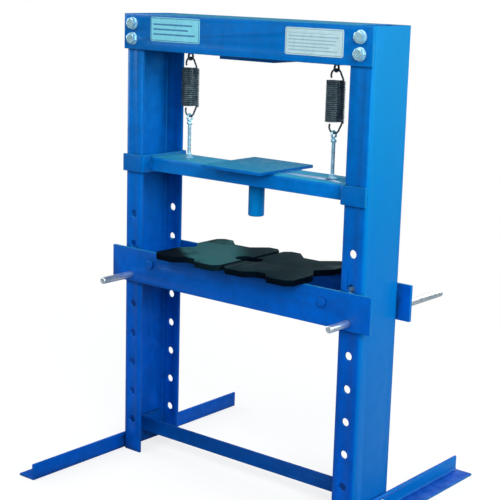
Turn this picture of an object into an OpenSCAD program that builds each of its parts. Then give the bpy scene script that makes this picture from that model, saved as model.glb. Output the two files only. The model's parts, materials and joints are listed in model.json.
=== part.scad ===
// H-frame arbor press, floor standing.
// Origin: on the floor, midway between the two uprights.
// +X to the right upright, +Y to the rear, +Z up. Millimetres.
// Name endings: _h height, _w width, _d depth or diameter, _t thickness, _l length,
// _r radius, _n count, _x _y _z place. A "side" is -1 for left or front, 1 for right or rear.

/* [Frame] */
// Overall height, floor to the top of the uprights
frame_h = 1050; // [1000:5:1200]
// Overall width over the webs of the two uprights
frame_w = 680; // [640:5:760]
// Depth of the upright channels, front to rear
col_d = 140; // [130:2:160]
// Width of the channel flanges
col_f = 55; // [52:1:64]
// Wall thickness of the channels
col_t = 6; // [5:0.5:7]

/* [Top beam] */
// Height of the top beam
beam_h = 80; // [76:1:96]
// Thickness of the beam plates
beam_t = 6; // [5:0.5:8]
// Half width of the pad that the jack pushes against
pad_x = 75; // [60:1:100]
// Thickness of the jack pad
pad_t = 9; // [6:1:14]
// Size of the bolts that hold the beam to the uprights
beam_bolt_d = 14; // [12:1:14]

/* [Pin holes] */
// Number of bed heights
hole_n = 8; // [6:1:8]
// Height of the lowest pin hole
hole_z0 = 80; // [80:1:90]
// Distance between bed heights
hole_pitch = 72.5; // [65:0.5:75]
// Diameter of the pin holes in the uprights
hole_d = 18; // [17.5:0.5:20]
// Which hole the bed is pinned at, counted from 0 at the bottom
bed_step = 5; // [3:1:5]

/* [Bed] */
// Height of the bed rails
rail_h = 80; // [70:1:90]
// Thickness of the bed rails
rail_t = 8; // [6:1:10]
// Half length of the bed rails
rail_x = 368; // [350:1:390]
// Diameter of the bed pins
pin_d = 16; // [14:0.5:16.5]
// Length of the bed pins
pin_l = 440; // [330:5:460]

/* [Press plates] */
// Length of each press plate along the bed
plate_x = 190; // [170:2:194]
// Depth of each press plate across the bed
plate_y = 240; // [200:2:260]
// Thickness of the press plates
plate_t = 14; // [10:1:20]

/* [Ram] */
// Height of the top face of the moving crosspiece
cross_z = 725; // [715:1:735]
// Height of the crosspiece channel
cross_h = 33; // [30:1:45]
// Depth of the crosspiece, front to rear
cross_d = 104; // [90:2:120]
// Diameter of the ram stub
stub_d = 36; // [30:1:44]
// Height of the lower end of the ram stub above the floor
stub_z = 617; // [600:1:640]

/* [Return springs] */
// Distance of each spring from the middle of the press
spring_x = 203; // [190:1:215]
// Outside diameter of the springs
spring_od = 42; // [34:1:44]
// Wire diameter of the springs
wire_d = 4.2; // [3:0.1:4.4]
// Number of coils
coils = 20; // [14:1:20]

/* [Base] */
// Reach of the feet to the front
foot_front = 360; // [300:5:380]
// Reach of the feet to the rear
foot_rear = 360; // [300:5:400]
// Width of the flat leg of each foot
foot_w = 48; // [40:1:55]
// Height of the standing leg of each foot
foot_h = 38; // [36:1:42]

/* [Hidden] */
$fn = 48;
overlap = 0.01; // joins stacked pieces into one solid
bolt_play = 1; // bolt and rod holes are this much over size

half_width = frame_w / 2;
half_depth = col_d / 2;
pin_hole_x = half_width - col_f / 2 - 1.5;
pin_z = hole_z0 + bed_step * hole_pitch;
beam_z = frame_h - beam_h;

// Ram guides stand 3 clear of the uprights; the crosspiece fits between them.
guide_t = 6;
guide_x = half_width - col_f - 3;
cross_end = guide_x - guide_t;
cross_t = 5;

blue = [0.0, 0.33, 0.70];
deep = [0.0, 0.28, 0.62];
zinc = [0.80, 0.82, 0.84];
black = [0.10, 0.12, 0.13];
plate_c = [0.14, 0.20, 0.20];
label_c = [0.80, 0.88, 0.94];

// ---------- shared shapes ----------

// Rectangle from the origin with two rounded corners on its x = 0 side.
module half_round(width, height, radius) {
    translate([radius, 0]) square([width - radius, height]);
    translate([0, radius]) square([radius + overlap, height - 2 * radius]);
    translate([radius, radius]) circle(radius);
    translate([radius, height - radius]) circle(radius);
}

// Channel section: web along x = 0, flanges towards +x.
module channel_2d(depth, flange, wall, corner_r) {
    difference() {
        half_round(flange, depth, corner_r);
        translate([wall, wall])
            half_round(flange, depth - 2 * wall, max(corner_r - wall, 0.5));
    }
}

// Angle section: both legs start at the origin, with a small root radius.
module angle_2d(width, height, wall) {
    root_r = wall * 0.8;
    difference() {
        union() {
            square([width, wall]);
            square([wall, height]);
            translate([wall, wall]) square([root_r, root_r]);
        }
        translate([wall + root_r, wall + root_r]) circle(root_r);
    }
}

// Block centred in x and y, standing on height z.
module block(half_x, half_y, height, z)
    translate([-half_x, -half_y, z]) cube([2 * half_x, 2 * half_y, height]);

// Cutter along y, reaching as far to the front as to the rear.
module y_hole(x, z, diameter, reach)
    translate([x, -reach, z]) rotate([-90, 0, 0]) cylinder(d = diameter, h = 2 * reach);

// Hexagonal prism with chamfered corners on its far side.
module hex(flats, height) {
    intersection() {
        cylinder(d = flats / cos(30), h = height, $fn = 6);
        cylinder(r1 = flats / 2 + height * 1.2, r2 = flats / 2 - 0.1, h = height);
    }
}

// Bolt: the head stands on z = 0 and the shank runs down.
module bolt(diameter, flats, head, length) {
    hex(flats, head);
    translate([0, 0, -length]) cylinder(d = diameter, h = length + overlap);
}

module ring(bore, height) difference() {
    children();
    translate([0, 0, -1]) cylinder(d = bore, h = height + 2);
}

module nut(diameter, flats, height)
    ring(diameter + 0.2, height) hex(flats, height);

module washer(diameter, outer_d, height)
    ring(diameter + 0.6, height) cylinder(d = outer_d, h = height);

// Turns children from facing up to facing front or rear, at x, y, z.
module face_y(x, y, z, side)
    translate([x, y, z]) rotate([side < 0 ? 90 : -90, 0, 0]) children();

// Turns children from facing up to facing left or right, at x, y, z.
module face_x(x, y, z, side)
    translate([x, y, z]) rotate([0, 90 * side, 0]) children();

// Mirrors children left to right when side is -1.
module handed(side) mirror([side < 0 ? 1 : 0, 0, 0]) children();

// ---------- swept wire for the springs ----------

function unit(v) = v / norm(v);
function clamp_index(i, count) = i < 0 ? 0 : (i > count - 1 ? count - 1 : i);
function tangent(path, i) =
    unit(path[clamp_index(i + 1, len(path))] - path[clamp_index(i - 1, len(path))]);
// Carries a normal along the path with as little twist as possible.
function carry(normal, along) = unit(normal - (normal * along) * along);
function path_normals(path) = [
    for (i = 0, normal = carry([0.3, 1, 0.2], tangent(path, 0)); i < len(path);
        i = i + 1, normal = carry(normal, tangent(path, clamp_index(i, len(path))))) normal];

module wire_sweep(path, radius, sides) {
    normals = path_normals(path);
    last = len(path) - 1;
    points = [for (i = [0:last])
        let (normal = normals[i], binormal = cross(tangent(path, i), normal))
        for (j = [0:sides - 1]) let (turn = j * 360 / sides)
            path[i] + radius * (cos(turn) * normal + sin(turn) * binormal)];
    skin = [for (i = [0:last - 1]) for (j = [0:sides - 1])
        let (a = i * sides + j, b = i * sides + (j + 1) % sides)
        each [[a, a + sides, b], [b, a + sides, b + sides]]];
    start_cap = [for (j = [0:sides - 1]) j];
    end_cap = [for (j = [0:sides - 1]) last * sides + (sides - 1 - j)];
    polyhedron(points = points, faces = concat(skin, [start_cap, end_cap]), convexity = 10);
}

// ---------- frame ----------

beam_bolt_x = half_width - 28;
beam_bolt_z = [frame_h - 22, frame_h - 56];
beam_bolt_flats = 22;
beam_washer_t = 2.5;
label_t = 0.8;

module beam_bolt_holes(side, reach)
    for (z = beam_bolt_z) y_hole(side * beam_bolt_x, z, beam_bolt_d + bolt_play, reach);

module upright(side) difference() {
    translate([side * half_width, -half_depth, 0]) handed(-side)
        linear_extrude(frame_h) channel_2d(col_d, col_f, col_t, corner_r = 11);
    for (i = [0:hole_n - 1])
        y_hole(side * pin_hole_x, hole_z0 + i * hole_pitch, hole_d, half_depth + 1);
    beam_bolt_holes(side, half_depth + 1);
    foot_bolt_holes(side);
}
module left_upright() color(blue) upright(-1);
module right_upright() color(blue) upright(1);

// The rear plate stops short of the webs at both ends.
module beam_plate(side) {
    half_length = side < 0 ? half_width : half_width - 10;
    difference() {
        translate([-half_length, side < 0 ? -half_depth - beam_t : half_depth, beam_z])
            cube([2 * half_length, beam_t, beam_h]);
        for (s = [-1, 1]) beam_bolt_holes(s, half_depth + beam_t + 1);
    }
}
module beam_front_plate() color(blue) beam_plate(-1);
module beam_rear_plate() color(blue) beam_plate(1);

module beam_top_plate() color(blue) block(guide_x, half_depth, beam_t, frame_h - beam_t);

module beam_bottom_plate() color(deep) difference() {
    block(guide_x, half_depth, beam_t, beam_z);
    at_springs(beam_z - 1) cylinder(d = rod_d + bolt_play, h = beam_t + 2);
}

module jack_pad() color(deep) block(pad_x, 50, pad_t, beam_z - pad_t);

// Children at every beam bolt, y from the middle, facing outwards (turn 1) or inwards (-1).
module at_beam_bolts(y, turn = 1)
    for (s = [-1, 1]) for (f = [-1, 1]) for (z = beam_bolt_z)
        face_y(s * beam_bolt_x, f * y, z, f * turn) children();

module beam_bolts() color(zinc) at_beam_bolts(half_depth + beam_t + beam_washer_t)
    bolt(beam_bolt_d, beam_bolt_flats, head = 9,
        length = beam_t + col_t + beam_washer_t + 14);
module beam_washers() color(zinc) at_beam_bolts(half_depth + beam_t)
    washer(beam_bolt_d, 28, beam_washer_t);
module beam_nuts() color(zinc) at_beam_bolts(half_depth - col_t, turn = -1)
    nut(beam_bolt_d, beam_bolt_flats, 10);

// Label on the front of the beam: left edge x, lower edge this far below the frame top.
module label(x, drop, width, height)
    translate([x, -half_depth - beam_t - label_t, frame_h - drop])
        cube([width, label_t, height]);
module label_left() color(label_c) label(x = -257, drop = 59, width = 146, height = 54);
module label_right() color(label_c) label(x = 124, drop = 66, width = 147, height = 56);

// ---------- return springs ----------

spring_z0 = 842; // lower end of the coils
spring_h = coils * (wire_d + 0.4);
hook_r = 13;
hook_offset = 8; // from the end of the coils to the hook's centre
hook_low_z = spring_z0 - hook_offset;
hook_high_z = spring_z0 + spring_h + hook_offset;

// Each eye is a ring that the wire of a hook hangs in, 0.15 clear of its inside.
eye_ring_r = 7.5;
eye_wire_r = 2.5;
eye_shift = eye_ring_r - eye_wire_r - wire_d / 2 - 0.15;
eye_top_z = hook_high_z + hook_r + eye_shift;
eye_bot_z = hook_low_z - hook_r - eye_shift;

rod_d = 8;
rod_nut_flats = 13;
rod_nut_h = 7;
rod_washer_t = 1.8;

// Centre line of one extension spring: lower hook, close coils, upper hook.
function hook(centre_z, start) = [for (a = [start:15:start + 180])
    [hook_r * cos(a), 0, centre_z + hook_r * sin(a)]];
coil_r = (spring_od - wire_d) / 2;
coil_steps = 16; // path points in one turn
function coil() = [for (i = [0:coils * coil_steps]) let (a = i * 360 / coil_steps)
    [coil_r * cos(a), coil_r * sin(a),
        spring_z0 + wire_d / 2 + (spring_h - wire_d) * i / (coils * coil_steps)]];

module return_spring(side) translate([side * spring_x, 0, 0])
    wire_sweep(concat(hook(hook_low_z, -205), coil(), hook(hook_high_z, 15)),
        radius = wire_d / 2, sides = 6);
module return_spring_left() color(black) return_spring(-1);
module return_spring_right() color(black) return_spring(1);

module at_springs(z) for (s = [-1, 1]) translate([s * spring_x, 0, z]) children();

module eye_ring(z) translate([0, 0, z]) rotate([0, 90, 0])
    rotate_extrude() translate([eye_ring_r, 0]) circle(eye_wire_r, $fn = 24);

// Upper eye: ring, shank up through the beam's bottom plate, and a collar under it.
module spring_eye(side) translate([side * spring_x, 0, 0]) {
    shank_z = eye_top_z + eye_ring_r;
    eye_ring(eye_top_z);
    translate([0, 0, shank_z]) cylinder(d = rod_d, h = beam_z + beam_t + 12 - shank_z);
    translate([0, 0, beam_z - 2]) cylinder(d = 14, h = 2);
}
module spring_eye_left() color(black) spring_eye(-1);
module spring_eye_right() color(black) spring_eye(1);
module spring_eye_nuts() color(zinc)
    at_springs(beam_z + beam_t) nut(rod_d, rod_nut_flats, rod_nut_h);

// Lower eye: ring, collar under it, and a rod down through the crosspiece.
module spring_rod(side) translate([side * spring_x, 0, 0]) {
    rod_z = cross_z - 24;
    eye_ring(eye_bot_z);
    translate([0, 0, rod_z]) cylinder(d = rod_d, h = eye_bot_z - eye_ring_r - rod_z);
    translate([0, 0, eye_bot_z - eye_ring_r - eye_wire_r - 6]) cylinder(d = 13, h = 6.6);
}
module spring_rod_left() color(zinc) spring_rod(-1);
module spring_rod_right() color(zinc) spring_rod(1);

// Washers and nuts lie above and below the web of the crosspiece.
module spring_rod_washers() color(zinc)
    for (z = [cross_z, cross_z - cross_t - rod_washer_t])
        at_springs(z) washer(rod_d, 20, rod_washer_t);
module spring_rod_nuts() color(zinc) {
    at_springs(cross_z + rod_washer_t) nut(rod_d, rod_nut_flats, rod_nut_h);
    at_springs(cross_z - cross_t - rod_washer_t)
        mirror([0, 0, 1]) nut(rod_d, rod_nut_flats, rod_nut_h);
}

// ---------- moving crosspiece ----------

// Channel with its web on top.
module ram_crosspiece() color(deep) difference() {
    translate([-cross_end, 0, cross_z]) rotate([90, 0, 90]) linear_extrude(2 * cross_end)
        rotate(-90) translate([0, -cross_d / 2])
            channel_2d(cross_d, cross_h, cross_t, corner_r = 7);
    at_springs(cross_z - cross_t - 1) cylinder(d = rod_d + bolt_play, h = cross_t + 2);
}

// U bracket across the mouth of an upright, with an arm outside each flange.
// The rear arm is the shorter one.
module ram_guide(side) {
    below = 4;
    above = 3;
    rear_cut = 10;
    inner_y = half_depth + 1;
    outer_y = inner_y + guide_t;
    arm = half_width - cross_end;
    translate([side * cross_end, 0, cross_z - cross_h - below]) handed(side)
        translate([0, -outer_y, 0]) linear_extrude(below + cross_h + above) difference() {
            half_round(arm, 2 * outer_y, 8);
            translate([guide_t, guide_t]) half_round(half_width, 2 * inner_y, 2);
            translate([arm - rear_cut, outer_y]) square([2 * rear_cut, outer_y + 1]);
        }
}
module ram_guide_left() color(deep) ram_guide(-1);
module ram_guide_right() color(deep) ram_guide(1);

module jack_saddle() color(deep) block(84, 94, 7, cross_z);

// Round bar under the crosspiece, with a chamfered lower end.
module ram_stub() color(deep) translate([0, 0, stub_z]) {
    chamfer = 2;
    body_z = chamfer - overlap;
    cylinder(d1 = stub_d - 2 * chamfer, d2 = stub_d, h = chamfer);
    translate([0, 0, body_z]) cylinder(d = stub_d, h = cross_z - cross_t - stub_z - body_z);
}

// ---------- bed ----------

rail_z = pin_z - 15.5;
rail_y = half_depth + 2; // inner face of each rail
rail_outer_y = rail_y + rail_t;
spacer_x = 246;
spacer_z = rail_z + 50;
spacer_bolt_d = 12;
spacer_bolt_flats = 18;

module rail(side) difference() {
    translate([-rail_x, side < 0 ? -rail_outer_y : rail_y, rail_z])
        cube([2 * rail_x, rail_t, rail_h]);
    for (s = [-1, 1]) {
        y_hole(s * pin_hole_x, pin_z, pin_d + 0.2, rail_outer_y + 1);
        y_hole(s * spacer_x, spacer_z, spacer_bolt_d + 0.6, rail_outer_y + 1);
    }
}
module bed_front_rail() color(blue) rail(-1);
module bed_rear_rail() color(blue) rail(1);

// Tubes between the rails, each with a bolt through it from the front.
module bed_spacers() color(deep) for (s = [-1, 1])
    face_y(s * spacer_x, -rail_y, spacer_z, 1)
        ring(14, 2 * rail_y) cylinder(d = 27, h = 2 * rail_y);
module bed_spacer_bolts() color(blue) for (s = [-1, 1])
    face_y(s * spacer_x, -rail_outer_y, spacer_z, -1)
        bolt(spacer_bolt_d, spacer_bolt_flats, head = 5, length = 2 * rail_outer_y + 13);
module bed_spacer_nuts() color(blue) for (s = [-1, 1])
    face_y(s * spacer_x, rail_outer_y, spacer_z, 1)
        nut(spacer_bolt_d, spacer_bolt_flats, 9);

// Tapered notch in the front or rear edge of a press plate.
module tapered_notch(side, half_mouth, half_floor, depth) {
    mouth_y = side * (plate_y / 2 + 1);
    floor_y = side * (plate_y / 2 - depth);
    polygon([[-half_mouth, mouth_y], [-half_floor, floor_y],
        [half_floor, floor_y], [half_mouth, mouth_y]]);
}

// Press plate with a different notch in each side; drawn as the right one.
module press_plate(side) {
    end_x = plate_x / 2;
    end_y = plate_y / 2;
    corner = 14;
    round_r = 20;
    round_x = 8; // centre of the round notch, in from the edge
    round_y = -12;
    translate([side * (end_x + 6), -8, rail_z + rail_h]) handed(side)
    linear_extrude(plate_t) difference() {
        polygon([
            [-end_x + corner, -end_y], [end_x - corner, -end_y],
            [end_x, -end_y + corner], [end_x, end_y - corner],
            [end_x - corner, end_y], [-end_x + corner, end_y],
            [-end_x, end_y - corner], [-end_x, -end_y + corner]]);
        tapered_notch(1, half_mouth = 56, half_floor = 22, depth = 33);
        tapered_notch(-1, half_mouth = 34, half_floor = 13, depth = 22);
        // round-bottomed notch, inner side
        translate([-end_x + round_x, round_y]) circle(r = round_r);
        translate([-end_x - 1, round_y - round_r]) square([round_x + 1, 2 * round_r]);
        // vee notch, outer side
        polygon([[end_x + 1, -40], [end_x - 26, 0], [end_x + 1, 40]]);
    }
}
module press_plate_left() color(plate_c) press_plate(-1);
module press_plate_right() color(plate_c) press_plate(1);

// Pin with chamfered ends; front_y is its front end.
module bed_pin(side, front_y) face_y(side * pin_hole_x, front_y, pin_z, 1) {
    chamfer = 1.5;
    tip_d = pin_d - 2 * chamfer;
    body_z = chamfer - overlap;
    cylinder(d1 = tip_d, d2 = pin_d, h = chamfer);
    translate([0, 0, body_z]) cylinder(d = pin_d, h = pin_l - 2 * body_z);
    translate([0, 0, pin_l - chamfer]) cylinder(d1 = pin_d, d2 = tip_d, h = chamfer);
}
module bed_pin_left() color(zinc) bed_pin(-1, front_y = -172);
module bed_pin_right() color(zinc) bed_pin(1, front_y = -145);

// ---------- base ----------

foot_t = 5;
foot_bolt_d = 10;
foot_bolt_flats = 16;
foot_bolt_y = 36;
foot_bolt_z = 19.5;
foot_washer_t = 2;
end_plate_t = 5;
bar_x = half_width - col_t - end_plate_t; // half length of the crossbar angle
bar_z = 36;
bar_h = 35;

// Cutters through foot, upright web and crossbar end plate.
module foot_bolt_holes(side) for (y = [-foot_bolt_y, foot_bolt_y])
    face_x(side * half_width - 15, y, foot_bolt_z, 1)
        cylinder(d = foot_bolt_d + bolt_play, h = 30);

// Angle bar with a plate at each end, against the inside of the upright's web.
module base_crossbar() color(blue) {
    plate_z = 6;
    translate([-bar_x, -20, bar_z]) rotate([90, 0, 90])
        linear_extrude(2 * bar_x) angle_2d(36, bar_h, 5);
    for (s = [-1, 1]) difference() {
        translate([s * (bar_x + end_plate_t / 2) - end_plate_t / 2, -52, plate_z])
            cube([end_plate_t, 104, bar_z + bar_h - plate_z]);
        foot_bolt_holes(s);
    }
}

module foot(side) difference() {
    translate([side * half_width, foot_rear, 0]) handed(side) rotate([90, 0, 0])
        linear_extrude(foot_front + foot_rear) angle_2d(foot_w, foot_h, foot_t);
    foot_bolt_holes(side);
}
module foot_left() color(blue) foot(-1);
module foot_right() color(blue) foot(1);

// Children at every foot bolt, x from the middle, facing outwards (turn 1) or inwards (-1).
module at_foot_bolts(x, turn = 1) for (s = [-1, 1]) for (y = [-foot_bolt_y, foot_bolt_y])
    face_x(s * x, y, foot_bolt_z, s * turn) children();

module foot_bolts() color(zinc) at_foot_bolts(half_width + foot_t + foot_washer_t)
    bolt(foot_bolt_d, foot_bolt_flats, head = 6.5,
        length = foot_t + foot_washer_t + col_t + end_plate_t + 11);
module foot_washers() color(zinc) at_foot_bolts(half_width + foot_t)
    washer(foot_bolt_d, 20, foot_washer_t);
module foot_nuts() color(zinc) at_foot_bolts(bar_x, turn = -1)
    nut(foot_bolt_d, foot_bolt_flats, 8);

left_upright();
right_upright();
beam_front_plate();
beam_rear_plate();
beam_top_plate();
beam_bottom_plate();
jack_pad();
beam_bolts();
beam_washers();
beam_nuts();
label_left();
label_right();
spring_eye_left();
spring_eye_right();
spring_eye_nuts();
return_spring_left();
return_spring_right();
spring_rod_left();
spring_rod_right();
spring_rod_washers();
spring_rod_nuts();
ram_crosspiece();
ram_guide_left();
ram_guide_right();
jack_saddle();
ram_stub();
bed_front_rail();
bed_rear_rail();
bed_spacers();
bed_spacer_bolts();
bed_spacer_nuts();
press_plate_left();
press_plate_right();
bed_pin_left();
bed_pin_right();
base_crossbar();
foot_left();
foot_right();
foot_bolts();
foot_washers();
foot_nuts();
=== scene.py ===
# A two-post workshop press: a blue frame with a fixed beam on top, a sprung ram that slides
# below it, a pinned bed and two loose press plates. It stands on z = 0, centred on x = y = 0,
# with its front facing -Y, its width along X and its height along Z.
import bpy, bmesh, json, math
import numpy as np
from functools import cached_property, partial
from mathutils import Vector, Matrix


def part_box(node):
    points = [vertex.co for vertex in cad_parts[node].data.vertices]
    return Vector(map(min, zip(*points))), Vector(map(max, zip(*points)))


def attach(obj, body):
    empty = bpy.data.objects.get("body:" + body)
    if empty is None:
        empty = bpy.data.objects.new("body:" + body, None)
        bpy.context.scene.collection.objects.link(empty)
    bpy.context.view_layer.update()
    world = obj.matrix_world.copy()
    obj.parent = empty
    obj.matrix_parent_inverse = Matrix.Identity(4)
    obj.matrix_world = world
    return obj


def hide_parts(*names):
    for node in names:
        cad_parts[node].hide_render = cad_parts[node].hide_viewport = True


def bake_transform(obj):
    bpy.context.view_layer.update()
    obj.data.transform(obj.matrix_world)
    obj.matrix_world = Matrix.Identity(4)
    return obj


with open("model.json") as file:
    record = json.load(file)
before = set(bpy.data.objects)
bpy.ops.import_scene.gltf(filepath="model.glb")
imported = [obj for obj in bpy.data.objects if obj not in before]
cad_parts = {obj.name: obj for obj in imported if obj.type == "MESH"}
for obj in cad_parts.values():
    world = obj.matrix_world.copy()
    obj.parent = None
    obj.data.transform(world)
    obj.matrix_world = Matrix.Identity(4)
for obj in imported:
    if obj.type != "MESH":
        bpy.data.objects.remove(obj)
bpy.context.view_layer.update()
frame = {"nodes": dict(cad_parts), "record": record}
NODES = frame["nodes"]
BODY = {node: body for body, nodes in frame["record"]["behaviour"]["bodies"].items()
        for node in nodes}
SCENE = bpy.context.scene
MM = 0.001
X, Y, Z = 0, 1, 2


# ------------------------------------------------------------------ shader graphs

class Graph:
    """Short calls for building a node tree."""

    def __init__(self, tree):
        self.tree = tree
        tree.nodes.clear()

    def put(self, socket, value):
        """Links a socket to the input, or sets the input to a value."""
        if isinstance(value, bpy.types.NodeSocket):
            self.tree.links.new(value, socket)
        elif isinstance(value, (tuple, list)) and socket.type == "RGBA" and len(value) == 3:
            socket.default_value = (*value, 1.0)
        else:
            socket.default_value = value

    def node(self, kind, inputs=None, **settings):
        made = self.tree.nodes.new(kind)
        for key, value in settings.items():
            setattr(made, key, value)
        for key, value in (inputs or {}).items():
            self.put(made.inputs[key], value)
        return made

    def split(self, vector):
        """The X, Y and Z sockets of a vector."""
        return tuple(self.node("ShaderNodeSeparateXYZ", {0: vector}).outputs)

    def ramp(self, value, over, to=(0.0, 1.0), kind="SMOOTHSTEP"):
        """Carries the value from the range `over` to the range `to`, clamped at both ends."""
        return self.node("ShaderNodeMapRange", {
            "Value": value, "From Min": over[0], "From Max": over[1],
            "To Min": to[0], "To Max": to[1]}, interpolation_type=kind, clamp=True).outputs[0]

    def math(self, operation, a, b=0.0, clamp=False):
        return self.node("ShaderNodeMath", {0: a, 1: b}, operation=operation,
                         use_clamp=clamp).outputs[0]

    def times(self, a, b):
        return self.math("MULTIPLY", a, b)

    def plus(self, a, b, clamp=False):
        return self.math("ADD", a, b, clamp)

    def minus(self, a, b):
        return self.math("SUBTRACT", a, b)

    def mix_shader(self, factor, a, b):
        return self.node("ShaderNodeMixShader", {0: factor, 1: a, 2: b}).outputs[0]

    def camera_ray(self):
        return self.node("ShaderNodeLightPath").outputs["Is Camera Ray"]


class Material(Graph):
    """A procedural material around one Principled shader."""

    def __init__(self, name):
        self.block = bpy.data.materials.new(name)
        self.block.use_nodes = True
        super().__init__(self.block.node_tree)
        self.output = self.node("ShaderNodeOutputMaterial")
        self.shader = self.node("ShaderNodeBsdfPrincipled")
        self.put(self.output.inputs[0], self.shader.outputs[0])
        self.place = self.node("ShaderNodeTexCoord").outputs["Object"]

    @cached_property
    def normal(self):
        return self.node("ShaderNodeNewGeometry").outputs["Normal"]

    def set(self, **inputs):
        """Sets shader inputs, with underscores for the spaces in their names."""
        for key, value in inputs.items():
            self.put(self.shader.inputs[key.replace("_", " ")], value)

    def mapped(self, scale, rotation=(0, 0, 0), location=(0, 0, 0)):
        return self.node("ShaderNodeMapping", {
            "Vector": self.place, "Scale": scale, "Rotation": rotation,
            "Location": location}).outputs[0]

    def noise(self, scale, detail=2.0, rough=0.5, at=None):
        return self.node("ShaderNodeTexNoise", {
            "Vector": at or self.place, "Scale": scale, "Detail": detail,
            "Roughness": rough}).outputs["Fac"]

    def mix(self, factor, a, b, mode="MIX"):
        return self.node("ShaderNodeMix", {0: factor, 6: a, 7: b}, data_type="RGBA",
                         blend_type=mode).outputs[2]

    def bump(self, height, strength, distance, normal=None):
        inputs = {"Strength": strength, "Distance": distance, "Height": height}
        if normal is not None:
            inputs["Normal"] = normal
        return self.node("ShaderNodeBump", inputs).outputs[0]

    def edges(self, radius):
        """1 on outside corners and 0 on flats, from the rounded normal."""
        bevel = self.node("ShaderNodeBevel", {"Radius": radius}, samples=4)
        agreement = self.node("ShaderNodeVectorMath", {0: bevel.outputs[0], 1: self.normal},
                              operation="DOT_PRODUCT").outputs["Value"]
        return self.ramp(agreement, over=(0.985, 0.80))

    def scratches(self, seed, density, long=6.0, fine=420.0):
        """Straight scratches in two directions: `long` and `fine` scale the noise along
        and across them, and a higher density value leaves fewer."""
        first = self.mapped((long, long, fine), (0.3 + seed, 0.5, 0.2), (seed, 0, 0))
        second = self.mapped((fine, long, long), (0.2, 0.35 + seed, 0.9), (0, seed, 3))
        lines = [self.ramp(self.noise(scale=1.0, detail=1.0, at=at), over=(density, density + 0.05))
                 for at in (first, second)]
        patches = self.ramp(self.noise(scale=9.0 + seed), over=(0.45, 0.62))
        return self.times(self.math("MAXIMUM", *lines), patches)


def scaled(colour, by):
    return tuple(channel * factor for channel, factor in zip(colour, by))


# ------------------------------------------------------------------ materials

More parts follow.
